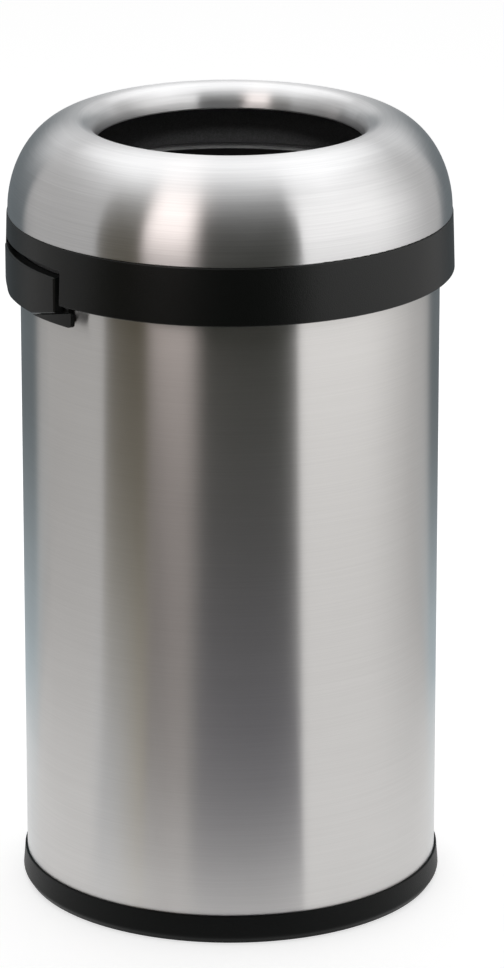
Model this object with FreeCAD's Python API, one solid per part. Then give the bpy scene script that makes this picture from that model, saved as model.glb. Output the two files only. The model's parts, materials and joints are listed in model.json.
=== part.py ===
"""Open-top trash can: steel body, black base ring, hinged collar and dome with a round mouth.

All sizes are in millimetres. The origin is on the floor under the can's centre, +Z is up,
and the lid's hinge is on the -X side with its axis along Y.
"""
import FreeCAD
import Part
import math
import os

V = FreeCAD.Vector

# Overall sizes
total_height = 760.0
body_radius = 200.0
body_gauge = 0.8

# Clearances that many pieces share
lie_gap = 0.3
screw_play = 0.1
running_play = 0.05

# Base ring, floor plate and feet
base_height = 29.0
base_lip = 2.2
base_lip_round = 0.8
base_belly = 4.0
base_belly_height = 7.5
base_belly_round = 5.0
base_toe_inset = 0.3
base_toe_round = 1.0
base_web = 4.0
base_groove_rise = 3.0
base_inner_rise = 3.0
base_inner_wall = 3.5
base_ledge = 15.4
floor_thickness = 2.5
foot_radius = 9.0
foot_proud = 1.0
foot_sunk = 2.0
foot_round = 0.6
foot_count = 6
foot_inset = 7.0

# Lid: collar, dome and the mouth's rolled edge
dome_height = 89.0
collar_height = 55.0
collar_overhang = 14.0
collar_draft = 1.7
collar_wall = 3.5
collar_round = 0.9
collar_bevel = 0.8
dome_inset = 0.8
dome_gauge = 0.8
dome_foot_round = 1.2
mouth_radius = 127.5
mouth_roll_width = 17.5
mouth_roll_drop = 22.0
mouth_lip_round = 1.6
mouth_lip_return = 2.1

# Lid: inner liner, clamp ring and rubber bumpers
lid_flange = 3.5
lid_ring_width = 8.2
liner_gap = 1.2
liner_wall = 1.5
clamp_rise = 12.2
clamp_round = 0.5
bumper_radius = 2.8
bumper_peg_radius = 1.4
bumper_peg = 2.0
bumper_angles = (0, 60, 120, 240, 300)
lid_screw_angles = (30, 90, 150, 210, 270, 330)

# Body collar: plastic channel on the body's top edge, with an upstand for the liner ring
channel_lap = 10.0
channel_leg = 2.7
channel_inner_leg = 3.0
channel_inner_drop = 12.0
channel_roof = 5.7
land_overhang = 6.5
land_thickness = 3.0
upstand_wall = 3.0
upstand_inset = 5.0
rivet_angles = (0, 55, 110, 250, 305)
rivet_shank_radius = 1.6
rivet_head_radius = 3.2
rivet_head = 1.2
rivet_tail = 1.0

# Liner ring: lift-out ring that holds the bag
liner_ring_rise = 12.3
liner_ring_bead = 3.0
liner_ring_width = 9.0
liner_ring_round = 1.2
liner_ring_band = 2.0
liner_ring_depth = 30.0
liner_ring_play = 2.5
liner_ring_seat = 0.2
grip_reach = 15.0
grip_width = 30.0
grip_thickness = 3.0
grip_round = 5.0

# Hinge at the -X side
notch_half = 75.0
notch_height = 34.0
block_side_gap = 7.0
block_top_gap = 8.5
block_bevel = 1.2
block_wall = 3.5
saddle_drop = 19.0
saddle_plate = 4.2
saddle_inset = 1.5
saddle_corner = 4.0
wedge_start = 30.0
wedge_end = 88.0
wedge_wall = 3.5
wedge_sweep_gap = 4.6
wedge_gap = 1.0
hinge_axis_rise = 4.0
hinge_boss_radius = 6.2
hinge_wall_gap = 1.3
hinge_pin_radius = 2.5
hinge_bush_radius = 3.75
hinge_boss_length = 6.0
hinge_end_wall = 3.0
washer_radius = 5.5
washer_thickness = 1.0
backing_plate = 2.0
backing_half = 52.0
backing_edge = 10.0
hinge_screw_half = 34.0
hinge_screw_inset = 11.0
hinge_screw_radius = 2.0
hinge_screw_bite = 7.0
hinge_screw_boss = 4.5

# Small screws, all of one family
screw_radius = 1.5
screw_head_radius = 2.8
screw_head = 2.0
screw_slot = 0.8
screw_slot_depth = 0.9
base_screw_count = 6
hinge_screw_head_radius = 4.0

# Heights that follow from the sizes above
collar_top = total_height - dome_height
collar_bottom = collar_top - collar_height
notch_top = collar_bottom + notch_height
block_top = notch_top - block_top_gap
saddle_bottom = collar_bottom - saddle_drop
hinge_z = collar_bottom + hinge_axis_rise
channel_bottom = block_top + lie_gap
body_top = channel_bottom + channel_lap
land_top = body_top + lie_gap + channel_roof
lid_flange_bottom = collar_top - lid_flange
hem_top = collar_top + dome_gauge
clamp_top = collar_top + clamp_rise
liner_ring_top = collar_top + liner_ring_rise
upstand_top = liner_ring_top - liner_ring_bead - liner_ring_seat
web_top = foot_proud + base_web
groove_floor = web_top + base_groove_rise
floor_top = web_top + floor_thickness

# Radii that follow from the sizes above
body_inner = body_radius - body_gauge
collar_bottom_radius = body_radius + collar_overhang
collar_top_radius = collar_bottom_radius - collar_draft
collar_inner_top = collar_top_radius - collar_wall
dome_foot_radius = collar_top_radius - dome_inset
dome_inner_foot = dome_foot_radius - dome_gauge
crest_radius = mouth_radius + mouth_roll_width
liner_outer_foot = dome_inner_foot - liner_gap
liner_inner_foot = liner_outer_foot - liner_wall
liner_inner_crest = total_height - dome_gauge - liner_gap - liner_wall
liner_foot_top = hem_top + liner_wall
lid_ring_inner = collar_inner_top - lid_ring_width
clamp_share = (clamp_top - liner_foot_top) / (liner_inner_crest - liner_foot_top)
clamp_outer = crest_radius + (liner_inner_foot - crest_radius) * math.sqrt(1 - clamp_share ** 2) - lie_gap
clamp_middle = (lid_ring_inner + clamp_outer) / 2
channel_inner = body_inner - lie_gap
upstand_outer = body_radius - upstand_inset
upstand_inner = upstand_outer - upstand_wall
band_outer = upstand_inner - liner_ring_play
band_inner = band_outer - liner_ring_band
bead_inner = upstand_outer - liner_ring_width
base_inner = body_inner - lie_gap - base_inner_wall
ledge_inner = base_inner - base_ledge
floor_radius = base_inner - lie_gap
foot_circle = base_inner - foot_inset
saddle_back = body_radius + lie_gap
saddle_face = saddle_back + saddle_plate
block_back = saddle_face + lie_gap
wedge_face = collar_bottom_radius - saddle_inset
backing_outer = body_inner - lie_gap
backing_inner = backing_outer - backing_plate

# Hinge places that follow from the sizes above
block_half = notch_half - block_side_gap
lug_start = block_half + lie_gap
lug_end = notch_half - washer_thickness - 2 * screw_play
hinge_x = -(hinge_boss_radius + math.sqrt((body_radius + hinge_wall_gap) ** 2 - notch_half ** 2))
wedge_rise = saddle_drop - wedge_sweep_gap
hinge_screw_levels = (saddle_bottom + hinge_screw_inset + wedge_gap, block_top - hinge_screw_inset)


def rounded_outline(corners):
    """Closed outline in the XZ plane through (across, up, rounding) corners."""
    points = [V(across, 0, up) for across, up, rounding in corners]
    spans = []
    for i, here in enumerate(points):
        rounding = corners[i][2]
        back = (points[i - 1] - here).normalize()
        ahead = (points[(i + 1) % len(points)] - here).normalize()
        half = back.getAngle(ahead) / 2
        inward = (back + ahead).normalize()
        setback = rounding / math.tan(half)
        middle = here + inward * (rounding / math.sin(half) - rounding)
        spans.append((here + back * setback, middle, here + ahead * setback, rounding))
    edges = []
    for i, (start, middle, end, rounding) in enumerate(spans):
        if rounding:
            edges.append(Part.Arc(start, middle, end).toShape())
        edges.append(Part.makeLine(end, spans[(i + 1) % len(spans)][0]))
    return Part.Wire(edges)


def turned(outline):
    """Solid of revolution about the can's axis."""
    return Part.Face(outline).revolve(V(0, 0, 0), V(0, 0, 1), 360)


def ring(inner, outer, bottom, top):
    """Plain ring about the can's axis."""
    corners = [(inner, bottom, 0), (outer, bottom, 0), (outer, top, 0), (inner, top, 0)]
    return turned(rounded_outline(corners))


def quarter_ellipse(start, corner, end):
    """Quarter of an ellipse that leaves start and reaches end along the two sides of corner."""
    curve = Part.BezierCurve()
    curve.setPoles([start, corner, end])
    curve.setWeight(2, math.sqrt(0.5))
    return curve.toShape()


def quarter_circle(start, centre, end):
    """Quarter of a circle from start to end."""
    outward = (start + end - centre * 2).normalize()
    middle = centre + outward * (start - centre).Length
    return Part.Arc(start, middle, end).toShape()


def on_wall(outline, inner, outer):
    """Part of the ring between two radii whose view along X is the outline, on the hinge side."""
    turn = FreeCAD.Rotation(V(0, 0, 1), 90)
    slab = Part.Face(outline)
    slab.Placement = FreeCAD.Placement(V(0, 0, 0), turn)
    slab = slab.extrude(V(-2 * outer, 0, 0))
    box = slab.BoundBox
    return slab.common(ring(inner, outer, box.ZMin, box.ZMax))


def wall_panel(half_width, bottom, top, inner, outer):
    """Curved panel, even about Y, on the hinge side."""
    corners = [(-half_width, bottom, 0), (half_width, bottom, 0), (half_width, top, 0), (-half_width, top, 0)]
    return on_wall(rounded_outline(corners), inner, outer)


def mirrored(shape):
    """The same shape on the other side of the XZ plane."""
    return shape.mirror(V(0, 0, 0), V(0, 1, 0))


def along_hinge(radius, start, end):
    """Round bar about the hinge axis, from y = start to y = end."""
    return Part.makeCylinder(radius, end - start, V(hinge_x, start, hinge_z), V(0, 1, 0))


def around(shape, angle):
    """The shape turned about the can's axis."""
    copy = shape.copy()
    copy.rotate(V(0, 0, 0), V(0, 0, 1), angle)
    return copy


def pattern(shape, angles):
    """Copies of a shape about the can's axis, kept as separate solids."""
    return Part.makeCompound([around(shape, angle) for angle in angles])


def even_angles(count, start=0.0):
    """Angles that share a full turn evenly."""
    return [start + 360.0 * i / count for i in range(count)]


def screw(seat, aim, shank_radius, shank_length, head_radius):
    """Pan-head screw with a cross slot; its head's underside is at seat and its point is towards aim."""
    shank = Part.makeCylinder(shank_radius, shank_length)
    head = Part.makeCylinder(head_radius, screw_head, V(0, 0, -screw_head))
    rim = [edge for edge in head.Edges if abs(edge.BoundBox.ZMax + screw_head) < running_play]
    head = head.makeFillet(screw_head / 2, rim[:1])
    bar = Part.makeBox(head_radius, screw_slot, screw_slot_depth)
    bar.translate(V(-head_radius / 2, -screw_slot / 2, -screw_head))
    cross = bar.fuse(bar.rotated(V(0, 0, 0), V(0, 0, 1), 90))
    piece = shank.fuse(head).cut(cross).removeSplitter()
    piece.Placement = FreeCAD.Placement(seat, FreeCAD.Rotation(V(0, 0, 1), aim))
    return piece


def hinge_screw_places():
    """Seats of the screws that hold the block, saddle and backing plate together."""
    reach = math.sqrt(backing_inner ** 2 - (hinge_screw_half + hinge_screw_head_radius) ** 2)
    return [V(-reach, side * hinge_screw_half, level) for side in (-1, 1) for level in hinge_screw_levels]


def hinge_screw_length():
    """From the seat on the backing plate into the block."""
    block_start = math.sqrt(block_back ** 2 - hinge_screw_half ** 2)
    return block_start + hinge_screw_bite + hinge_screw_places()[0].x


def hinge_screw_holes(radius):
    """Clearance holes for the four hinge screws."""
    length = hinge_screw_length() + screw_play
    holes = [Part.makeCylinder(radius, length, seat, V(-1, 0, 0)) for seat in hinge_screw_places()]
    return Part.makeCompound(holes)


def rivet_level():
    """Height of the rivets, halfway up the lap of channel and wall."""
    return channel_bottom + channel_lap / 2


def rivet_holes():
    """Radial holes for the collar's rivets."""
    hole = Part.makeCylinder(
        rivet_shank_radius + screw_play, body_radius, V(upstand_inner, 0, rivet_level()), V(1, 0, 0))
    return pattern(hole, rivet_angles)


def make_body_shell():
    """Steel cylinder, open at both ends."""
    shell = ring(body_inner, body_radius, groove_floor, body_top)
    shell = shell.cut(hinge_screw_holes(hinge_screw_radius + screw_play))
    return shell.cut(rivet_holes())


def make_base_ring():
    """Black moulded ring with a groove for the body's lower edge and a ledge for the floor."""
    corners = [
        (ledge_inner, foot_proud, 0),
        (body_radius - base_toe_inset, foot_proud, base_toe_round),
        (body_radius + base_belly, base_belly_height, base_belly_round),
        (body_radius + base_lip, base_height, base_lip_round),
        (body_radius + lie_gap, base_height, 0),
        (body_radius + lie_gap, groove_floor, 0),
        (body_inner - lie_gap, groove_floor, 0),
        (body_inner - lie_gap, base_height + base_inner_rise, 0),
        (base_inner, base_height + base_inner_rise, base_lip_round),
        (base_inner, web_top, 0),
        (ledge_inner, web_top, 0),
    ]
    base = turned(rounded_outline(corners))
    pocket = Part.makeCylinder(foot_radius + screw_play, foot_sunk, V(foot_circle, 0, foot_proud))
    base = base.cut(pattern(pocket, even_angles(foot_count)))
    pilot = Part.makeCylinder(screw_radius + screw_play, base_web, V(foot_circle, 0, foot_proud))
    return base.cut(pattern(pilot, even_angles(base_screw_count, base_screw_start())))


def base_screw_start():
    """The floor's screws lie halfway between the feet."""
    return 180.0 / foot_count


def make_base_floor():
    """Flat steel plate that closes the can's bottom."""
    floor = Part.makeCylinder(floor_radius, floor_thickness, V(0, 0, web_top))
    hole = Part.makeCylinder(screw_radius + screw_play, floor_thickness, V(foot_circle, 0, web_top))
    return floor.cut(pattern(hole, even_angles(base_screw_count, base_screw_start())))


def make_base_screws():
    """Screws from the floor plate into the base ring."""
    length = floor_thickness + base_web - lie_gap
    one = screw(V(foot_circle, 0, floor_top), V(0, 0, -1), screw_radius, length, screw_head_radius)
    return pattern(one, even_angles(base_screw_count, base_screw_start()))


def make_rubber_feet():
    """Round rubber pads, sunk into the base ring and standing a little proud of it."""
    pad = Part.makeCylinder(foot_radius, foot_proud + foot_sunk, V(foot_circle, 0, 0))
    low = [edge for edge in pad.Edges if edge.BoundBox.ZMax < foot_proud]
    pad = pad.makeFillet(foot_round, low[:1])
    return pattern(pad, even_angles(foot_count))


def make_body_collar():
    """Black channel over the body's top edge, with a land for the lid and an upstand inside."""
    corners = [
        (channel_inner - channel_inner_leg, body_top - channel_inner_drop, 0),
        (channel_inner, body_top - channel_inner_drop, 0),
        (channel_inner, body_top + lie_gap, 0),
        (body_radius + lie_gap, body_top + lie_gap, 0),
        (body_radius + lie_gap, channel_bottom, 0),
        (body_radius + lie_gap + channel_leg, channel_bottom, 0),
        (body_radius + lie_gap + channel_leg, land_top - land_thickness, 0),
        (body_radius + land_overhang, land_top - land_thickness, 0),
        (body_radius + land_overhang, land_top, collar_round),
        (upstand_outer, land_top, 0),
        (upstand_outer, upstand_top, collar_round),
        (upstand_inner, upstand_top, collar_round),
        (upstand_inner, body_top + lie_gap, 0),
        (channel_inner - channel_inner_leg, body_top + lie_gap, 0),
    ]
    return turned(rounded_outline(corners)).cut(rivet_holes())


def make_collar_rivets():
    """Rivets through channel and wall, hidden under the lid's collar."""
    head_seat = body_radius + lie_gap + channel_leg + lie_gap / 2
    tail_seat = channel_inner - channel_inner_leg - lie_gap / 2
    level = rivet_level()
    shank = Part.makeCylinder(rivet_shank_radius, head_seat - tail_seat, V(tail_seat, 0, level), V(1, 0, 0))
    head = Part.makeCylinder(rivet_head_radius, rivet_head, V(head_seat, 0, level), V(1, 0, 0))
    tail_start = tail_seat - rivet_tail
    tail = Part.makeCylinder(rivet_head_radius, rivet_tail, V(tail_start, 0, level), V(1, 0, 0))
    return pattern(shank.fuse([head, tail]), rivet_angles)


def make_liner_ring():
    """Lift-out ring that traps the bag's edge, with two finger grips."""
    corners = [
        (band_inner, liner_ring_top - liner_ring_depth, 0),
        (band_outer, liner_ring_top - liner_ring_depth, 0),
        (band_outer, liner_ring_top - liner_ring_bead, 0),
        (upstand_outer, liner_ring_top - liner_ring_bead, 0),
        (upstand_outer, liner_ring_top, liner_ring_round),
        (bead_inner, liner_ring_top, liner_ring_round),
        (bead_inner, liner_ring_top - liner_ring_bead, 0),
        (band_inner, liner_ring_top - liner_ring_bead, 0),
    ]
    body = turned(rounded_outline(corners))
    grip_bottom = liner_ring_top - liner_ring_bead - grip_thickness
    reach = band_inner - grip_reach
    grip = Part.makeBox(grip_reach + liner_ring_band / 2, grip_width, grip_thickness)
    grip.translate(V(reach, -grip_width / 2, grip_bottom))
    tips = [edge for edge in grip.Edges if edge.BoundBox.XMax < reach + running_play and edge.BoundBox.ZLength > 1]
    grip = grip.makeFillet(grip_round, tips)
    return body.fuse([grip, around(grip, 180)]).removeSplitter()


def wedge_line(y):
    """Height of the saddle's slanted top edge at a distance y from the hinge's middle."""
    return saddle_bottom + wedge_rise * (y - wedge_start) / (wedge_end - wedge_start)


def wedge(end, rounding, inner):
    """Wedge on the wall that grows from its point beside the hinge's middle to its end."""
    corners = [
        (wedge_start, saddle_bottom, 0),
        (end, saddle_bottom, rounding),
        (end, wedge_line(end), 0),
    ]
    return on_wall(rounded_outline(corners), inner, wedge_face)


def make_hinge_saddle():
    """Curved plate under the hinge block; at each end a wedge that runs out in a thin flap, and a pin lug."""
    plate = wall_panel(lug_end, saddle_bottom, block_top - lie_gap, saddle_back, saddle_face)
    root = wedge(lug_end, 0, saddle_back)
    flap = wedge(wedge_end, saddle_corner, wedge_face - wedge_wall)
    lug = along_hinge(hinge_boss_radius, lug_start, lug_end)
    lug = lug.common(ring(saddle_back, collar_bottom_radius, saddle_bottom, block_top))
    side = [root, flap, lug]
    saddle = plate.fuse(side + [mirrored(piece) for piece in side]).removeSplitter()
    bore = along_hinge(hinge_pin_radius, lug_start, lug_end)
    saddle = saddle.cut([bore, mirrored(bore)])
    return saddle.cut(hinge_screw_holes(hinge_screw_radius + screw_play))


def make_hinge_block():
    """Cover block flush with the lid's collar, hollow behind, with four screw bosses."""
    bottom = saddle_bottom + wedge_gap
    end_bottom = wedge_line(block_half) + wedge_gap
    corners = [
        (-block_half, end_bottom, 0),
        (-wedge_start, bottom, 0),
        (wedge_start, bottom, 0),
        (block_half, end_bottom, 0),
        (block_half, block_top, 0),
        (-block_half, block_top, 0),
    ]
    block = on_wall(rounded_outline(corners), block_back, collar_bottom_radius)
    reach = collar_bottom_radius - running_play
    rim = [e for e in block.Edges if min(math.hypot(v.X, v.Y) for v in e.Vertexes) > reach]
    block = block.makeChamfer(block_bevel, rim)
    pocket = wall_panel(
        block_half - block_wall, end_bottom + block_wall, block_top - block_wall,
        block_back - lie_gap, collar_bottom_radius - block_wall)
    bosses = [
        Part.makeCylinder(hinge_screw_boss, collar_bottom_radius, V(0, seat.y, seat.z), V(-1, 0, 0))
        for seat in hinge_screw_places()
    ]
    block = block.cut(pocket.cut(bosses))
    return block.cut(hinge_screw_holes(hinge_screw_radius + running_play))


def make_backing_plate():
    """Steel plate inside the wall that spreads the load of the hinge screws."""
    bottom = hinge_screw_levels[0] - backing_edge
    top = body_top - channel_inner_drop - lie_gap
    plate = wall_panel(backing_half, bottom, top, backing_inner, backing_outer)
    return plate.cut(hinge_screw_holes(hinge_screw_radius + screw_play))


def make_hinge_screws():
    """Screws from inside the can into the hinge block."""
    aim = V(-1, 0, 0)
    length = hinge_screw_length()
    screws = [
        screw(seat, aim, hinge_screw_radius, length, hinge_screw_head_radius)
        for seat in hinge_screw_places()
    ]
    return Part.makeCompound(screws)


def make_hinge_pins():
    """Two stub pins, pressed into the saddle's lugs and turning in the collar's bushes."""
    pin = along_hinge(hinge_pin_radius, lug_start, notch_half + hinge_boss_length - lie_gap)
    return Part.makeCompound([pin, mirrored(pin)])


def make_hinge_washers():
    """Thin washers between the lugs and the collar's bosses."""
    start = lug_end + screw_play
    washer = along_hinge(washer_radius, start, start + washer_thickness)
    washer = washer.cut(along_hinge(hinge_pin_radius + running_play, start, start + washer_thickness))
    return Part.makeCompound([washer, mirrored(washer)])


def make_hinge_bushes():
    """Plain bushes in the lid collar's bosses."""
    end = notch_half + hinge_boss_length
    bush = along_hinge(hinge_bush_radius, notch_half, end)
    bush = bush.cut(along_hinge(hinge_pin_radius + running_play, notch_half, end))
    return Part.makeCompound([bush, mirrored(bush)])


def lid_screw_length():
    """From under the collar's flange through the dome's hem and the liner's foot into the clamp ring."""
    return clamp_top - lid_flange_bottom - liner_wall


def lid_screw_holes(radius):
    """Clearance holes for the lid's screws."""
    hole = Part.makeCylinder(radius, lid_screw_length() + screw_play, V(clamp_middle, 0, lid_flange_bottom))
    return pattern(hole, lid_screw_angles)


def make_lid_collar():
    """Black collar band: sloping skirt, inner flange, notch for the hinge block and hinge bosses."""
    corners = [
        (collar_bottom_radius - collar_wall, collar_bottom, 0),
        (collar_bottom_radius - collar_bevel, collar_bottom, 0),
        (collar_bottom_radius, collar_bottom + collar_bevel, 0),
        (collar_top_radius, collar_top, collar_round),
        (lid_ring_inner, collar_top, 0),
        (lid_ring_inner, lid_flange_bottom, 0),
        (collar_inner_top, lid_flange_bottom, 0),
    ]
    collar = turned(rounded_outline(corners))
    notch = Part.makeBox(collar_bottom_radius, 2 * notch_half, notch_top)
    notch.translate(V(-collar_bottom_radius, -notch_half, 0))
    collar = collar.cut(notch)
    outside = collar_top_radius - collar_wall / 2
    end_wall = Part.makeBox(collar_bottom_radius, hinge_end_wall, total_height)
    end_wall.translate(V(-collar_bottom_radius, notch_half, 0))
    end_wall = end_wall.common(ring(saddle_face, outside, collar_bottom + collar_bevel, block_top))
    boss = along_hinge(hinge_boss_radius, notch_half, notch_half + hinge_boss_length + collar_wall / 2)
    boss = boss.common(ring(body_radius, outside, saddle_bottom, notch_top))
    side = [end_wall, boss]
    collar = collar.fuse(side + [mirrored(piece) for piece in side]).removeSplitter()
    bore = along_hinge(hinge_bush_radius, notch_half, notch_half + hinge_boss_length)
    collar = collar.cut([bore, mirrored(bore)])
    peg = Part.makeCylinder(
        bumper_peg_radius + screw_play, bumper_peg + screw_play, V(clamp_middle, 0, lid_flange_bottom))
    collar = collar.cut(pattern(peg, bumper_angles))
    return collar.cut(lid_screw_holes(screw_radius + screw_play))


def make_lid_dome():
    """Spun steel dome: it rises from the collar, rolls over at the crest and ends in a turned lip."""
    foot = collar_top + dome_foot_round
    throat = total_height - mouth_roll_drop
    lip_inner = mouth_lip_round - dome_gauge
    lip_centre = V(mouth_radius + mouth_lip_round, 0, throat)
    lip_end = lip_centre.x + mouth_lip_return
    hem_centre = V(dome_foot_radius - dome_foot_round, 0, foot)
    hem_inner = dome_foot_round - dome_gauge
    inner_crest = total_height - dome_gauge
    inner_throat = mouth_radius + dome_gauge
    points = {
        "foot": V(dome_foot_radius, 0, foot),
        "crest": V(crest_radius, 0, total_height),
        "throat": V(mouth_radius, 0, throat),
        "lip_low": V(lip_centre.x, 0, throat - mouth_lip_round),
        "lip_low_end": V(lip_end, 0, throat - mouth_lip_round),
        "lip_high_end": V(lip_end, 0, throat - lip_inner),
        "lip_high": V(lip_centre.x, 0, throat - lip_inner),
        "inner_throat": V(inner_throat, 0, throat),
        "inner_crest": V(crest_radius, 0, inner_crest),
        "inner_foot": V(dome_inner_foot, 0, foot),
        "hem_high": V(hem_centre.x, 0, hem_top),
        "hem_high_end": V(lid_ring_inner, 0, hem_top),
        "hem_low_end": V(lid_ring_inner, 0, collar_top),
        "hem_low": V(hem_centre.x, 0, collar_top),
    }
    edges = [
        quarter_ellipse(points["foot"], V(dome_foot_radius, 0, total_height), points["crest"]),
        quarter_ellipse(points["crest"], V(mouth_radius, 0, total_height), points["throat"]),
        quarter_circle(points["throat"], lip_centre, points["lip_low"]),
        Part.makeLine(points["lip_low"], points["lip_low_end"]),
        Part.makeLine(points["lip_low_end"], points["lip_high_end"]),
        Part.makeLine(points["lip_high_end"], points["lip_high"]),
        quarter_circle(points["lip_high"], lip_centre, points["inner_throat"]),
        quarter_ellipse(points["inner_throat"], V(inner_throat, 0, inner_crest), points["inner_crest"]),
        quarter_ellipse(points["inner_crest"], V(dome_inner_foot, 0, inner_crest), points["inner_foot"]),
        quarter_circle(points["inner_foot"], hem_centre, points["hem_high"]),
        Part.makeLine(points["hem_high"], points["hem_high_end"]),
        Part.makeLine(points["hem_high_end"], points["hem_low_end"]),
        Part.makeLine(points["hem_low_end"], points["hem_low"]),
        quarter_circle(points["hem_low"], hem_centre, points["foot"]),
    ]
    dome = turned(Part.Wire(edges))
    return dome.cut(lid_screw_holes(screw_radius + screw_play))


def make_lid_liner():
    """Black shell inside the dome; its foot is trapped between the dome's hem and the clamp ring."""
    foot = collar_top + dome_foot_round
    throat = total_height - mouth_roll_drop
    outer_crest = liner_inner_crest + liner_wall
    outer_throat = mouth_radius + dome_gauge + liner_gap
    inner_throat = outer_throat + liner_wall
    points = [
        V(lid_ring_inner, 0, hem_top),
        V(liner_outer_foot, 0, hem_top),
        V(liner_outer_foot, 0, foot),
        V(crest_radius, 0, outer_crest),
        V(outer_throat, 0, throat),
        V(inner_throat, 0, throat),
        V(crest_radius, 0, liner_inner_crest),
        V(liner_inner_foot, 0, liner_foot_top),
        V(lid_ring_inner, 0, liner_foot_top),
    ]
    edges = [
        Part.makeLine(points[0], points[1]),
        Part.makeLine(points[1], points[2]),
        quarter_ellipse(points[2], V(liner_outer_foot, 0, outer_crest), points[3]),
        quarter_ellipse(points[3], V(outer_throat, 0, outer_crest), points[4]),
        Part.makeLine(points[4], points[5]),
        quarter_ellipse(points[5], V(inner_throat, 0, liner_inner_crest), points[6]),
        quarter_ellipse(points[6], V(liner_inner_foot, 0, liner_inner_crest), points[7]),
        Part.makeLine(points[7], points[8]),
        Part.makeLine(points[8], points[0]),
    ]
    liner = turned(Part.Wire(edges))
    return liner.cut(lid_screw_holes(screw_radius + screw_play))


def make_lid_clamp_ring():
    """Ring that the lid's screws pull down on the liner's foot and the dome's hem."""
    corners = [
        (lid_ring_inner, liner_foot_top, 0),
        (clamp_outer, liner_foot_top, 0),
        (clamp_outer, clamp_top, 0),
        (lid_ring_inner, clamp_top, clamp_round),
    ]
    clamp = turned(rounded_outline(corners))
    return clamp.cut(lid_screw_holes(screw_radius + running_play))


def make_lid_screws():
    """Screws from below the collar's flange up into the clamp ring."""
    seat = V(clamp_middle, 0, lid_flange_bottom)
    one = screw(seat, V(0, 0, 1), screw_radius, lid_screw_length(), screw_head_radius)
    return pattern(one, lid_screw_angles)


def make_lid_bumpers():
    """Rubber buttons under the collar's flange that land on the body collar."""
    height = lid_flange_bottom - land_top - lie_gap
    button = Part.makeCylinder(bumper_radius, height, V(clamp_middle, 0, land_top + lie_gap))
    low = [edge for edge in button.Edges if edge.BoundBox.ZMax < land_top + height / 2]
    button = button.makeFillet(foot_round, low[:1])
    peg = Part.makeCylinder(bumper_peg_radius, bumper_peg, V(clamp_middle, 0, lid_flange_bottom))
    return pattern(button.fuse(peg), bumper_angles)


nodes = {
    "body_shell": make_body_shell,
    "base_ring": make_base_ring,
    "base_floor": make_base_floor,
    "base_screws": make_base_screws,
    "rubber_feet": make_rubber_feet,
    "body_collar": make_body_collar,
    "collar_rivets": make_collar_rivets,
    "liner_ring": make_liner_ring,
    "hinge_saddle": make_hinge_saddle,
    "hinge_block": make_hinge_block,
    "hinge_backing_plate": make_backing_plate,
    "hinge_screws": make_hinge_screws,
    "hinge_pins": make_hinge_pins,
    "hinge_washers": make_hinge_washers,
    "hinge_bushes": make_hinge_bushes,
    "lid_collar": make_lid_collar,
    "lid_dome": make_lid_dome,
    "lid_liner": make_lid_liner,
    "lid_clamp_ring": make_lid_clamp_ring,
    "lid_screws": make_lid_screws,
    "lid_bumpers": make_lid_bumpers,
}

os.makedirs("parts", exist_ok=True)
for node, make in nodes.items():
    solid = make()
    solid.exportStep("parts/" + node + ".step")
    print(node, len(solid.Solids), "solids", round(solid.Volume / 1000.0, 2), "cm3", solid.isValid())
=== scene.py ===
# %% [markdown]
# An open-top trash can: a brushed steel cylinder on a black base ring, and a hinged lid made of a
# black collar and a spun steel dome with a round mouth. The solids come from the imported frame, already
# in their real sizes, in metres. This lesson gives them a camera, a studio and finishes, one step at a
# time.

# %% Load the frame and keep its box
import json
import math

import bmesh
import bpy
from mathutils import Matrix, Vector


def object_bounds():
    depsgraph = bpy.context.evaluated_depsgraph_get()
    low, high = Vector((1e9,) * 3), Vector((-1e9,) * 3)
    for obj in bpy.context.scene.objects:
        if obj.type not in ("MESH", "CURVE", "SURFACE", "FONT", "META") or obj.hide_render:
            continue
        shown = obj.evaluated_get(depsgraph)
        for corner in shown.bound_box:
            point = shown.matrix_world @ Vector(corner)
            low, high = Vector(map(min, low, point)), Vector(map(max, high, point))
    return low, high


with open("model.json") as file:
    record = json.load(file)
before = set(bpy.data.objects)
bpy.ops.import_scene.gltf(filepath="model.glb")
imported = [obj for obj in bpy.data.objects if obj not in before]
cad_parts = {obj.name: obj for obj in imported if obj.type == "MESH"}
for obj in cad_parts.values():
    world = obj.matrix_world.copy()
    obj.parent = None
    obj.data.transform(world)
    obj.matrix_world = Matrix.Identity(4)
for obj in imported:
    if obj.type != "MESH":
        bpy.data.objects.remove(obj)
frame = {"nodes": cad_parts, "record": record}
cad_low, cad_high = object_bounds()
scene = bpy.context.scene
scene.view_settings.view_transform = "Standard"
nodes = frame["nodes"]
print("nodes in the frame:", len(nodes))

# %% [markdown]
# The can is seen from the front and a little from its left, from above its rim. A long lens keeps the
# sides of the cylinder almost parallel, as in a catalogue picture. A constraint could aim the camera.
# Plain angles in radians are used instead, because each can be read and changed by itself: the pitch
# looks down at the can, and a small yaw puts the can left of the middle of a tall frame.

# %% Camera
view_turn = math.radians(-21.5)
camera_distance = 5.09
camera_height = 2.04
camera_pitch = 0.3124
camera_yaw = 0.0041
camera_lens = 206.1
camera_sensor = 36.0


def make_camera():
    """Camera at the picture's viewing angle."""
    data = bpy.data.cameras.new("picture_camera")
    data.sensor_width = camera_sensor
    data.lens = camera_lens
    camera = bpy.data.objects.new("picture_camera", data)
    camera.location = (
        camera_distance * math.sin(view_turn), -camera_distance * math.cos(view_turn), camera_height)
    camera.rotation_euler = (math.pi / 2 - camera_pitch, 0.0, view_turn - camera_yaw)
    scene.collection.objects.link(camera)
    scene.camera = camera
    return camera


camera = make_camera()
print("camera at", [round(c, 3) for c in camera.location])

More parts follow.
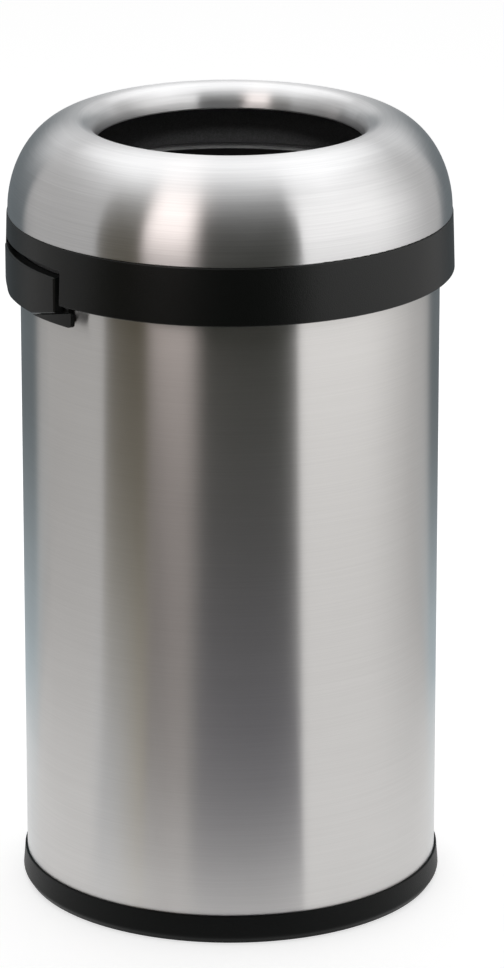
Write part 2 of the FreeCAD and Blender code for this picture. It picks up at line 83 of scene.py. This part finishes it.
# %% [markdown]
# Every surface below is a small graph of shader nodes. It could be wired by hand in the shader editor;
# a script does it with a few helpers, which keep the graphs short. One adds a node, one does sums, one
# carries a value from a range to another, one tells whether a ray will be seen, straight or in a
# reflection, and one starts an empty graph.

# %% Helpers for shader nodes
def add_node(tree, kind, **settings):
    """New node of a kind, with its properties set."""
    node = tree.nodes.new(kind)
    for key, value in settings.items():
        setattr(node, key, value)
    return node


def math_node(tree, operation, first, second):
    """Math node; each input is a socket or a plain number."""
    node = add_node(tree, "ShaderNodeMath", operation=operation)
    for socket, value in zip(node.inputs, (first, second)):
        if isinstance(value, bpy.types.NodeSocket):
            tree.links.new(value, socket)
        else:
            socket.default_value = value
    return node.outputs[0]


def map_range(tree, value, start, end, to_start, to_end, smooth=False):
    """Value carried from one range to another, held at the ends."""
    kind = "SMOOTHSTEP" if smooth else "LINEAR"
    node = add_node(tree, "ShaderNodeMapRange", interpolation_type=kind)
    tree.links.new(value, node.inputs["Value"])
    ends = {"From Min": start, "From Max": end, "To Min": to_start, "To Max": to_end}
    for name, number in ends.items():
        node.inputs[name].default_value = number
    return node.outputs["Result"]


def seen_rays(tree):
    """1 for rays from the camera, from shiny surfaces and through clear ones, otherwise 0."""
    path = add_node(tree, "ShaderNodeLightPath")
    seen = math_node(tree, "MAXIMUM", path.outputs["Is Camera Ray"], path.outputs["Is Glossy Ray"])
    return math_node(tree, "MAXIMUM", seen, path.outputs["Is Transmission Ray"])


def new_tree(material):
    """Empty node tree of a material, with its output node."""
    material.use_nodes = True
    tree = material.node_tree
    tree.nodes.clear()
    return tree, add_node(tree, "ShaderNodeOutputMaterial")


print("node helpers ready")

# %% [markdown]
# A can like this is pictured on a white paper sweep. A curved backdrop could be modelled, but a wide
# flat plane is simpler and looks the same from all sides. Rays that will be seen find it white. For all
# others it is plain grey paint: it throws little light back, so the can's colours stay as they are
# written, and it keeps the can's shadow.

# %% Floor
floor_half = 30.0
floor_colour = (0.6, 0.6, 0.6, 1.0)
floor_glow = 0.66


def make_floor():
    """White floor that keeps the can's shadow."""
    bpy.ops.mesh.primitive_plane_add(size=2 * floor_half)
    floor = bpy.context.object
    floor.name = "studio_floor"
    material = bpy.data.materials.new("studio_floor")
    tree, output = new_tree(material)
    paint = add_node(tree, "ShaderNodeBsdfDiffuse")
    paint.inputs["Color"].default_value = floor_colour
    glow = add_node(tree, "ShaderNodeEmission")
    tree.links.new(map_range(tree, seen_rays(tree), 0, 1, 0, floor_glow), glow.inputs["Strength"])
    both = add_node(tree, "ShaderNodeAddShader")
    tree.links.new(paint.outputs[0], both.inputs[0])
    tree.links.new(glow.outputs[0], both.inputs[1])
    tree.links.new(both.outputs[0], output.inputs["Surface"])
    floor.data.materials.append(material)
    return floor


floor = make_floor()
print(floor.name, "is", 2 * floor_half, "m wide")

# %% [markdown]
# Beyond the floor lies the white of the studio. A picture of a real studio could surround the can, but
# its details would show on the steel. A plain white world shows nothing. It is full white for rays that
# will be seen, and half as strong as a light.

# %% World
world_fill = 0.5
world_white = (1.0, 1.0, 1.0, 1.0)


def make_world():
    """White surroundings, dimmer as a light than to the eye."""
    world = bpy.data.worlds.new("studio_world")
    scene.world = world
    world.use_nodes = True
    tree = world.node_tree
    background = tree.nodes["Background"]
    background.inputs["Color"].default_value = world_white
    tree.links.new(map_range(tree, seen_rays(tree), 0, 1, world_fill, 1), background.inputs["Strength"])
    return world


world = make_world()
print(world.name, "gives", world_fill, "of white as a light")

# %% [markdown]
# Steel has hardly any look of its own: it shows what stands around it. A photographer therefore sets
# light walls and dark cards round the can, and each of them becomes an upright band on the cylinder.
# Flat boards would do, but a sheet that bends round the can fills just the angles that it is given. Its
# UV map runs from its left edge to its right and from its foot to its top, which lets the finish fade
# towards an edge.

# %% Curved sheet for a panel
panel_steps = 24
to_camera = -math.pi / 2 + view_turn


def curved_sheet(name, edges, heights, radii):
    """Sheet round the can between two angles from the camera, with left counted positive."""
    form = bmesh.new()
    uv = form.loops.layers.uv.new("sheet")
    rows = []
    for i in range(panel_steps + 1):
        share = i / panel_steps
        turn = to_camera - math.radians(edges[0] + (edges[1] - edges[0]) * share)
        row = []
        for v, (radius, z) in enumerate(zip(radii, heights)):
            vertex = form.verts.new((radius * math.cos(turn), radius * math.sin(turn), z))
            row.append((vertex, (share, v)))
        rows.append(row)
    for (foot, top), (next_foot, next_top) in zip(rows, rows[1:]):
        corners = (foot, next_foot, next_top, top)
        face = form.faces.new([vertex for vertex, spot in corners])
        for loop, (vertex, spot) in zip(face.loops, corners):
            loop[uv].uv = spot
    mesh = bpy.data.meshes.new(name)
    form.to_mesh(mesh)
    form.free()
    sheet = bpy.data.objects.new(name, mesh)
    scene.collection.objects.link(sheet)
    return sheet


print("sheets are made in", panel_steps, "steps")

# %% [markdown]
# The finish of a panel is plain light. Lamps could give it, but a glowing sheet can also fade: its
# light goes from one strength to another on its way up, and it turns clear towards its left, right and
# top edges, so that its reflection ends softly or sharply as wished. Only shiny surfaces see the
# panels: they stand in no view and throw no shadow.

# %% Panel finish
def panel_finish(name, colour, strengths, rise, soft):
    """Glow that changes over the rise, a share of the height, and fades at left, right and top."""
    material = bpy.data.materials.new(name)
    tree, output = new_tree(material)
    place = add_node(tree, "ShaderNodeTexCoord")
    split = add_node(tree, "ShaderNodeSeparateXYZ")
    tree.links.new(place.outputs["UV"], split.inputs[0])
    u, v = split.outputs["X"], split.outputs["Y"]
    left_fade = map_range(tree, u, 0, soft[0], 0, 1, smooth=True)
    right_fade = map_range(tree, u, 1 - soft[1], 1, 1, 0, smooth=True)
    top_fade = map_range(tree, v, 1 - soft[2], 1, 1, 0, smooth=True)
    cover = math_node(tree, "MULTIPLY", math_node(tree, "MULTIPLY", left_fade, right_fade), top_fade)
    glow = add_node(tree, "ShaderNodeEmission")
    glow.inputs["Color"].default_value = (*colour, 1.0)
    strength = map_range(tree, v, rise[0], rise[1], strengths[0], strengths[1], smooth=True)
    tree.links.new(strength, glow.inputs["Strength"])
    clear = add_node(tree, "ShaderNodeBsdfTransparent")
    mix = add_node(tree, "ShaderNodeMixShader")
    tree.links.new(cover, mix.inputs["Fac"])
    tree.links.new(clear.outputs[0], mix.inputs[1])
    tree.links.new(glow.outputs[0], mix.inputs[2])
    tree.links.new(mix.outputs[0], output.inputs["Surface"])
    return material


def make_panel(name, edges, heights, radii, colour, strengths, rise, soft):
    """One panel, which only shiny surfaces see."""
    panel = curved_sheet(name, edges, heights, radii)
    panel.data.materials.append(panel_finish(name, colour, strengths, rise, soft))
    panel.visible_camera = False
    panel.visible_shadow = False
    panel.visible_diffuse = False
    print(name, "from", edges[0], "to", edges[1], "degrees")


print("panel finish ready")

# %% [markdown]
# The bright bands come first. A wide wall at the right gives the broad white band, and a grey card in
# front of it dims that band towards the can's side. The wall at the left is dimmer. A warm card left of
# the middle gives a slim brownish band; above the rim it is far stronger and becomes the warm patch on
# the dome. Lamps with soft boxes could do the same, but panels can be placed to the degree.

# %% Light walls
wall_heights = (0.0, 1.8)
wall_radii = (0.7, 0.9)
wall_white = (1.0, 0.99, 0.98)

make_panel(
    "light_wall_right", edges=(-30, -130), heights=wall_heights, radii=wall_radii,
    colour=wall_white, strengths=(0.85, 1.6), rise=(0.16, 0.45), soft=(0.03, 0.1, 0.3))
make_panel(
    "grey_card_right", edges=(-66, -130), heights=wall_heights, radii=(0.65, 0.85),
    colour=wall_white, strengths=(0.6, 0.68), rise=(0.2, 0.6), soft=(0.8, 0.02, 0.4))
make_panel(
    "light_wall_left", edges=(128, 57), heights=wall_heights, radii=wall_radii,
    colour=(1.0, 0.985, 0.97), strengths=(0.57, 0.65), rise=(0.2, 0.6), soft=(0.05, 0.02, 0.4))
make_panel(
    "warm_card", edges=(44, 6), heights=wall_heights, radii=(0.45, 0.85),
    colour=(1.0, 0.9, 0.86), strengths=(0.24, 2.3), rise=(0.34, 0.43), soft=(0.05, 0.1, 0.2))

# %% [markdown]
# Dark bands give the cylinder its form, as black boards beside a bottle do. One card stands at the left
# and one in front, both nearer to the can than the walls. A third stands behind the can and draws a
# dark line down both of its sides. Gaps between the walls would show the white world instead, so the
# cards are needed. Each is lighter at its foot, as a board on a white floor is.

# %% Dark cards
front_edges = (21.5, -30.5)
dark_radii = (0.4, 0.8)

make_panel(
    "dark_card_left", edges=(59.5, 35), heights=(0.0, 1.65), radii=dark_radii,
    colour=(1.0, 0.87, 0.6), strengths=(0.41, 0.095), rise=(0.0, 0.3), soft=(0.03, 0.2, 0.5))
make_panel(
    "dark_card_front", edges=front_edges, heights=wall_heights, radii=dark_radii,
    colour=(0.98, 1.0, 0.82), strengths=(0.14, 0.035), rise=(0.0, 0.35), soft=(0.22, 0.02, 0.45))
make_panel(
    "dark_card_back", edges=(239.5, 113.5), heights=(0.0, 1.1), radii=(0.6, 0.8),
    colour=(0.82, 0.94, 1.0), strengths=(0.8, 0.2), rise=(0.0, 0.32), soft=(0.03, 0.03, 0.3))

# %% [markdown]
# Near the floor the bands lose their tint, because the floor throws white light back at the cards. The
# cards' own strength could grow at the foot, but each has only one colour. So two low, cooler cards
# with very soft tops stand in front of the dark ones.

# %% Low bounce cards
whole_height = (0.0, 1.0)

make_panel(
    "bounce_card_left", edges=(66, 28), heights=(0.0, 0.42), radii=(0.37, 0.44),
    colour=(0.95, 0.97, 1.0), strengths=(0.68, 0.6), rise=whole_height, soft=(0.27, 0.75, 0.9))
make_panel(
    "bounce_card_front", edges=front_edges, heights=(0.0, 0.6), radii=(0.38, 0.45),
    colour=(0.87, 0.85, 1.0), strengths=(0.15, 0.045), rise=whole_height, soft=(0.22, 0.02, 0.9))

# %% [markdown]
# One large soft lamp hangs over the can and a little behind it. It whitens the top of the dome, lights
# the inside of the mouth and gives the soft shadow on the floor. Several small lamps would show as
# spots on the steel; a square lamp of this size only makes it brighter.

# %% Overhead lamp
overhead_size = 2.4
overhead_behind = 0.8
overhead_height = 2.3
overhead_power = 17.0


def make_overhead():
    """Square soft lamp above the can."""
    data = bpy.data.lights.new("overhead_lamp", "AREA")
    data.shape = "SQUARE"
    data.size = overhead_size
    data.energy = overhead_power
    lamp = bpy.data.objects.new("overhead_lamp", data)
    lamp.location = (
        -overhead_behind * math.cos(to_camera), -overhead_behind * math.sin(to_camera), overhead_height)
    lamp.rotation_euler = (0.0, 0.0, view_turn)
    lamp.visible_camera = False
    scene.collection.objects.link(lamp)
    return lamp


overhead = make_overhead()
print(overhead.name, "is", round(overhead_power / (math.pi * overhead_size ** 2), 2), "times white")

# %% [markdown]
# The inside of the mouth would stay quite black. A photographer points a snoot at it, a lamp with a
# narrow tube: its beam goes in past the near edge, and the far edge shades the upper part of the wall
# behind it. A spot lamp is that tube. It is kept out of reflections, so it lights only the dull inside.

# %% Snoot
snoot_distance = 3.0
snoot_rise = math.radians(28.0)
snoot_beam = math.radians(7.0)
snoot_power = 800.0
snoot_past = 0.1
snoot_blend = 0.4
snoot_radius = 0.42


def make_snoot():
    """Narrow lamp from the camera's side into the mouth."""
    data = bpy.data.lights.new("snoot", "SPOT")
    data.energy = snoot_power
    data.spot_size = snoot_beam
    data.spot_blend = snoot_blend
    data.shadow_soft_size = snoot_radius
    lamp = bpy.data.objects.new("snoot", data)
    reach = snoot_distance * math.cos(snoot_rise) - snoot_past
    height = snoot_distance * math.sin(snoot_rise) + cad_high[2]
    lamp.location = (reach * math.cos(to_camera), reach * math.sin(to_camera), height)
    lamp.rotation_euler = (math.pi / 2 - snoot_rise, 0.0, view_turn)
    lamp.visible_glossy = False
    scene.collection.objects.link(lamp)
    return lamp


snoot = make_snoot()
print(snoot.name, "at", [round(c, 2) for c in snoot.location])

# %% [markdown]
# A finish could be painted on an unwrapped mesh. Here each one is a node material that reads its
# patterns at the point on the part, in metres: it needs no UV map, shows no seams and has the right
# scale by itself. These helpers start a finish and give it noise, colour and relief.

# %% Helpers for finishes
def start_finish(name):
    """Material with a principled shader, ready for its details."""
    material = bpy.data.materials.new(name)
    tree, output = new_tree(material)
    shader = add_node(tree, "ShaderNodeBsdfPrincipled")
    tree.links.new(shader.outputs[0], output.inputs["Surface"])
    return material, tree, shader


def object_place(tree):
    """Point on the part, in metres."""
    return add_node(tree, "ShaderNodeTexCoord").outputs["Object"]


def split_place(tree, place):
    """The point's three coordinates."""
    split = add_node(tree, "ShaderNodeSeparateXYZ")
    tree.links.new(place, split.inputs[0])
    return split.outputs["X"], split.outputs["Y"], split.outputs["Z"]


def noise(tree, place, scale, detail, roughness=0.5):
    """Even noise in space."""
    node = add_node(tree, "ShaderNodeTexNoise")
    tree.links.new(place, node.inputs["Vector"])
    node.inputs["Scale"].default_value = scale
    node.inputs["Detail"].default_value = detail
    node.inputs["Roughness"].default_value = roughness
    return node.outputs["Fac"]


def tint(tree, shader, value, ends, dark, light):
    """Base colour that runs from dark to light as a value goes from one end to the other."""
    ramp = add_node(tree, "ShaderNodeValToRGB")
    tree.links.new(value, ramp.inputs["Fac"])
    for element, end, colour in zip(ramp.color_ramp.elements, ends, (dark, light)):
        element.position = end
        element.color = (*colour, 1.0)
    tree.links.new(ramp.outputs["Color"], shader.inputs["Base Color"])


def bump(tree, shader, height, depth):
    """Relief of a given depth in metres."""
    node = add_node(tree, "ShaderNodeBump")
    tree.links.new(height, node.inputs["Height"])
    node.inputs["Distance"].default_value = depth
    tree.links.new(node.outputs[0], shader.inputs["Normal"])
    return node


print("finish helpers ready")

# %% [markdown]
# The grinding belt runs round the can, so fine grooves lie around its axis. Wave textures would repeat;
# noise gives lines that never do. It is stretched far along the way round, and squeezed along the way
# over the profile. On the upright wall that way is the height. On the dome it is the turn about the
# middle of its rounded section, which carries the lines evenly from the dome's foot over its crest into
# the mouth.

# %% Streaks round the axis
section_reach = 0.145
section_height = 0.671
section_radius = 0.08


def axis_place(tree, place):
    """Direction of the point from the can's axis, and its distance from it."""
    x, y = split_place(tree, place)[:2]
    flat = add_node(tree, "ShaderNodeCombineXYZ")
    tree.links.new(x, flat.inputs["X"])
    tree.links.new(y, flat.inputs["Y"])
    direction = add_node(tree, "ShaderNodeVectorMath", operation="NORMALIZE")
    tree.links.new(flat.outputs[0], direction.inputs[0])
    distance = add_node(tree, "ShaderNodeVectorMath", operation="LENGTH")
    tree.links.new(flat.outputs[0], distance.inputs[0])
    return direction.outputs[0], distance.outputs["Value"]


def way_up_wall(tree, place):
    """Height on the upright wall, in metres."""
    return split_place(tree, place)[2]


def way_over_dome(tree, place):
    """Way over the dome's rounded section, in metres."""
    rise = math_node(tree, "SUBTRACT", split_place(tree, place)[2], section_height)
    out = math_node(tree, "SUBTRACT", axis_place(tree, place)[1], section_reach)
    return math_node(tree, "MULTIPLY", math_node(tree, "ARCTAN2", rise, out), section_radius)


def around_streaks(tree, place, way, lengths_round, lines_per_metre, detail):
    """Noise in long streaks round the can's axis."""
    turned = add_node(tree, "ShaderNodeVectorMath", operation="SCALE")
    tree.links.new(axis_place(tree, place)[0], turned.inputs[0])
    turned.inputs["Scale"].default_value = lengths_round
    lifted = add_node(tree, "ShaderNodeCombineXYZ")
    tree.links.new(math_node(tree, "MULTIPLY", way(tree, place), lines_per_metre), lifted.inputs["Z"])
    total = add_node(tree, "ShaderNodeVectorMath", operation="ADD")
    tree.links.new(turned.outputs[0], total.inputs[0])
    tree.links.new(lifted.outputs[0], total.inputs[1])
    return noise(tree, total.outputs[0], scale=1.0, detail=detail)


print("streaks turn on the dome about", section_reach, "from the axis and", section_height, "up")

# %% [markdown]
# The body is rolled from sheet, and its two edges meet in a narrow upright weld at the back. It could
# be a raised strip in the mesh. A weld that is ground flat hardly stands up, so a mark in the finish is
# enough: along the marked line the steel gets rougher and a little higher.

# %% Weld at the back
seam_half = 0.0012


def weld_seam(tree, place):
    """1 along the weld at the back of the can, fading to 0 beside it."""
    x, y = split_place(tree, place)[:2]
    beside = math_node(tree, "ABSOLUTE", x, 0.0)
    near = map_range(tree, beside, 0, seam_half, 1, 0, smooth=True)
    return math_node(tree, "MULTIPLY", near, math_node(tree, "GREATER_THAN", y, 0.0))


print("weld", 2 * seam_half, "m wide")

# %% [markdown]
# Real grooves are far smaller than a pixel, so modelling or drawing each one is out of the question. An
# anisotropic metal stands for them: it blurs a reflection across the grooves and keeps it sharp along
# them, which turns each panel into an upright band. Streaks in colour and relief add the lines that the
# eye still sees, and soft smudges vary the shine. The dome is spun on a lathe and keeps coarser lines
# than the body.

# %% Brushed steel
groove_turn = 0.25
streak_lengths = 1.6
streak_detail = 2.0
streak_ends = (0.3, 0.7)
smudge_scale = 14.0
smudge_detail = 3.0
smudge_range = 0.03
seam_roughness = 0.2
seam_height = 3.0


def brushed_steel(name, way, lines_per_metre, dark, light, roughness, depth, seam_share):
    """Stainless sheet with grooves round the can's axis."""
    material, tree, shader = start_finish(name)
    shader.inputs["Metallic"].default_value = 1.0
    shader.inputs["Anisotropic"].default_value = 1.0
    shader.inputs["Anisotropic Rotation"].default_value = groove_turn
    tangent = add_node(tree, "ShaderNodeTangent", direction_type="RADIAL", axis="Z")
    tree.links.new(tangent.outputs[0], shader.inputs["Tangent"])
    place = object_place(tree)
    lines = around_streaks(tree, place, way, streak_lengths, lines_per_metre, streak_detail)
    tint(tree, shader, lines, streak_ends, dark, light)
    seam = math_node(tree, "MULTIPLY", weld_seam(tree, place), seam_share)
    smudge = map_range(
        tree, noise(tree, place, smudge_scale, smudge_detail), 0, 1,
        roughness - smudge_range, roughness + smudge_range)
    rough = math_node(tree, "ADD", smudge, math_node(tree, "MULTIPLY", seam, seam_roughness))
    tree.links.new(rough, shader.inputs["Roughness"])
    relief = math_node(tree, "ADD", lines, math_node(tree, "MULTIPLY", seam, seam_height))
    bump(tree, shader, relief, depth)
    return material


body_steel = brushed_steel(
    "brushed_steel", way_up_wall, lines_per_metre=1100.0, dark=(0.605, 0.595, 0.585),
    light=(0.635, 0.625, 0.615), roughness=0.3, depth=0.00004, seam_share=1.0)
dome_steel = brushed_steel(
    "spun_steel", way_over_dome, lines_per_metre=700.0, dark=(0.572, 0.572, 0.577),
    light=(0.632, 0.632, 0.637), roughness=0.3, depth=0.00003, seam_share=0.0)
print("steel:", body_steel.name, "and", dome_steel.name)

# %% [markdown]
# No moulded edge is quite sharp. The solids carry the larger roundings; cutting the smallest ones into
# every mesh would cost many faces. The Bevel node does it in the finish: it turns the normal over each
# edge as if it were rounded, so edges catch a thin line of light. How far the normal turns also marks
# the edges, where the finish paints a pale highlight and makes the shine a little smoother.

# %% Rounded edges
bevel_samples = 6
edge_begins = 0.98
edge_full = 0.75


def rounded_edges(tree, radius):
    """Normal of the surface with its edges rounded, and a mark from 0 to 1 along those edges."""
    bevel = add_node(tree, "ShaderNodeBevel", samples=bevel_samples)
    bevel.inputs["Radius"].default_value = radius
    surface = add_node(tree, "ShaderNodeNewGeometry")
    turned = add_node(tree, "ShaderNodeVectorMath", operation="DOT_PRODUCT")
    tree.links.new(bevel.outputs[0], turned.inputs[0])
    tree.links.new(surface.outputs["Normal"], turned.inputs[1])
    return bevel.outputs[0], map_range(tree, turned.outputs["Value"], edge_begins, edge_full, 0, 1)


print("edges are marked from", round(math.degrees(math.acos(edge_begins))), "degrees of turn")

# %% [markdown]
# The black pieces are moulded plastic. Their mould is spark-eroded, which leaves a fine even grain and
# a satin shine. A plain black shader would look like paint, so noise gives the grain its relief, and
# wider noise varies the shine where hands have been. Along the edges the shine is a little smoother, and
# the colour is painted paler there as a highlight, for light caught on the rounded edges. The base ring
# is scuffed by shoes and mops and is duller than the collar; the inner mouldings and the rubber are the
# same finish with their own values.

# %% Black mouldings
moulding_black = (0.002, 0.0026, 0.0024)
grain_detail = 2.0
grain_roughness = 0.6
grain_share = 0.3
edge_highlight_share = 0.7
tone_ends = (0.1, 1.0)
dark_tone = 0.85
# Pale end of the colour: the grain reaches it only in part; along the edges it is a painted highlight.
grain_and_highlight_tone = 6.0
handled_scale = 9.0
handled_detail = 2.0
handled_range = 0.07
edge_polish = 0.08


def moulded_plastic(name, colour, roughness, gloss, grain_scale, grain_depth, edge_radius):
    """Black moulding with a fine grain, softly polished edges and a painted highlight along them."""
    material, tree, shader = start_finish(name)
    place = object_place(tree)
    grain = noise(tree, place, grain_scale, grain_detail, grain_roughness)
    normal, edge = rounded_edges(tree, edge_radius)
    fine = math_node(tree, "MULTIPLY", grain, grain_share)
    # Painted highlight: the edge mark lifts the colour towards the pale end.
    tone = math_node(tree, "ADD", fine, math_node(tree, "MULTIPLY", edge, edge_highlight_share))
    tint(tree, shader, tone, tone_ends, [dark_tone * c for c in colour], [grain_and_highlight_tone * c for c in colour])
    handled = map_range(
        tree, noise(tree, place, handled_scale, handled_detail), 0, 1,
        roughness - handled_range, roughness + handled_range)
    polish = math_node(tree, "MULTIPLY", edge, edge_polish)
    tree.links.new(math_node(tree, "SUBTRACT", handled, polish), shader.inputs["Roughness"])
    relief = bump(tree, shader, grain, grain_depth)
    tree.links.new(normal, relief.inputs["Normal"])
    shader.inputs["Specular IOR Level"].default_value = gloss
    return material


black_plastic = moulded_plastic(
    "black_plastic", moulding_black, roughness=0.33, gloss=0.3,
    grain_scale=900.0, grain_depth=0.00016, edge_radius=0.0009)
inner_plastic = moulded_plastic(
    "inner_plastic", (0.05, 0.05, 0.051), roughness=0.45, gloss=0.4,
    grain_scale=600.0, grain_depth=0.0001, edge_radius=0.0006)
base_plastic = moulded_plastic(
    "base_plastic", moulding_black, roughness=0.45, gloss=0.12,
    grain_scale=900.0, grain_depth=0.00016, edge_radius=0.0009)
rubber = moulded_plastic(
    "rubber", (0.012, 0.012, 0.012), roughness=0.7, gloss=0.3,
    grain_scale=500.0, grain_depth=0.0001, edge_radius=0.0005)
print("mouldings:", black_plastic.name, inner_plastic.name, base_plastic.name, rubber.name)

# %% [markdown]
# The liner ring is a moulding too. Its bead carries a painted highlight, a thin pale line along its top
# where light catches it. A second material on the bead's faces would end in a hard line, so one finish
# runs from black to light grey in the last millimetre under the ring's top, in patches.

# %% Liner ring
bead_black = (0.006, 0.006, 0.006)
# Light grey of the painted highlight on the bead's top.
bead_highlight_grey = (0.42, 0.42, 0.42)
bead_begins = 0.0014
bead_full = 0.0002
patch_scale = 40.0
patch_detail = 3.0
patch_ends = (0.3, 0.7)
patch_least = 0.6
bead_roughness = 0.4
bead_gloss = 0.2


def bead_plastic(top):
    """Black moulding with a painted highlight along its top edge at a given height."""
    material, tree, shader = start_finish("bead_plastic")
    place = object_place(tree)
    height = way_up_wall(tree, place)
    # Painted highlight: paler in the last millimetre under the ring's top, in patches.
    painted_highlight = map_range(tree, height, top - bead_begins, top - bead_full, 0, 1, smooth=True)
    spots = noise(tree, place, patch_scale, patch_detail)
    patches = map_range(tree, spots, *patch_ends, patch_least, 1)
    tint(tree, shader, math_node(tree, "MULTIPLY", painted_highlight, patches), (0.0, 1.0), bead_black, bead_highlight_grey)
    shader.inputs["Roughness"].default_value = bead_roughness
    shader.inputs["Specular IOR Level"].default_value = bead_gloss
    return material


ring = nodes["liner_ring"]
ring_top = max(vertex.co[2] for vertex in ring.data.vertices)
ring_plastic = bead_plastic(ring_top)
print("liner ring's top at", round(ring_top, 4))

# %% [markdown]
# The hidden metal is plain steel with a zinc coat. On sheet the zinc grows in flat crystals of a few
# millimetres; on screws and rivets they are too small to see and only vary the shine. Noise would give
# clouds, but crystals meet in straight edges, so a texture of cells stands for them, each with its own
# tone and shine.

# %% Zinc-coated steel
crystal_ends = (0.1, 0.9)
crystal_range = 0.05


def plated_steel(name, dark, light, crystals_per_metre, roughness):
    """Zinc-coated steel with its crystal pattern."""
    material, tree, shader = start_finish(name)
    shader.inputs["Metallic"].default_value = 1.0
    cells = add_node(tree, "ShaderNodeTexVoronoi")
    tree.links.new(object_place(tree), cells.inputs["Vector"])
    cells.inputs["Scale"].default_value = crystals_per_metre
    shade = add_node(tree, "ShaderNodeSeparateColor")
    tree.links.new(cells.outputs["Color"], shade.inputs[0])
    tint(tree, shader, shade.outputs["Red"], crystal_ends, dark, light)
    rough = map_range(
        tree, shade.outputs["Green"], 0, 1, roughness - crystal_range, roughness + crystal_range)
    tree.links.new(rough, shader.inputs["Roughness"])
    return material


galvanised = plated_steel(
    "galvanised_steel", dark=(0.44, 0.45, 0.46), light=(0.56, 0.57, 0.58),
    crystals_per_metre=90.0, roughness=0.42)
zinc = plated_steel(
    "zinc_steel", dark=(0.56, 0.56, 0.57), light=(0.64, 0.64, 0.64),
    crystals_per_metre=600.0, roughness=0.3)
print("plated steel:", galvanised.name, "and", zinc.name)

# %% [markdown]
# The hinge turns in bushes and washers of natural nylon: cream, a little cloudy, and smooth enough to
# run without oil. Light could be let into it, but the pieces are small and half hidden, so faint clouds
# of colour on a smooth surface do.

# %% Nylon
cloud_scale = 200.0
cloud_detail = 2.0
cloud_ends = (0.3, 0.7)
nylon_dark = (0.69, 0.67, 0.6)
nylon_light = (0.75, 0.73, 0.68)
nylon_roughness = 0.35


def natural_nylon():
    """Cream nylon, slightly cloudy."""
    material, tree, shader = start_finish("nylon")
    cloud = noise(tree, object_place(tree), cloud_scale, cloud_detail)
    tint(tree, shader, cloud, cloud_ends, nylon_dark, nylon_light)
    shader.inputs["Roughness"].default_value = nylon_roughness
    return material


nylon = natural_nylon()
print("nylon:", nylon.name)

# %% [markdown]
# The record names a finish for every solid, so one loop can dress them all and none is forgotten. Three
# pieces have a finish of their own: the spun dome, the duller base ring, and the liner ring with the
# painted highlight on its bead. The solids themselves stay as the frame made them.

# %% Give every solid its finish
finishes = {
    "brushed_steel": body_steel,
    "black_plastic": black_plastic,
    "inner_plastic": inner_plastic,
    "rubber": rubber,
    "galvanised_steel": galvanised,
    "zinc_steel": zinc,
    "nylon": nylon,
}
own_finishes = {"lid_dome": dome_steel, "base_ring": base_plastic, "liner_ring": ring_plastic}

for entry in frame["record"]["subparts"]:
    node = entry["node"]
    finish = own_finishes.get(node, finishes[entry["material_slot"]])
    nodes[node].data.materials.clear()
    nodes[node].data.materials.append(finish)
    print(node, "is", finish.name)
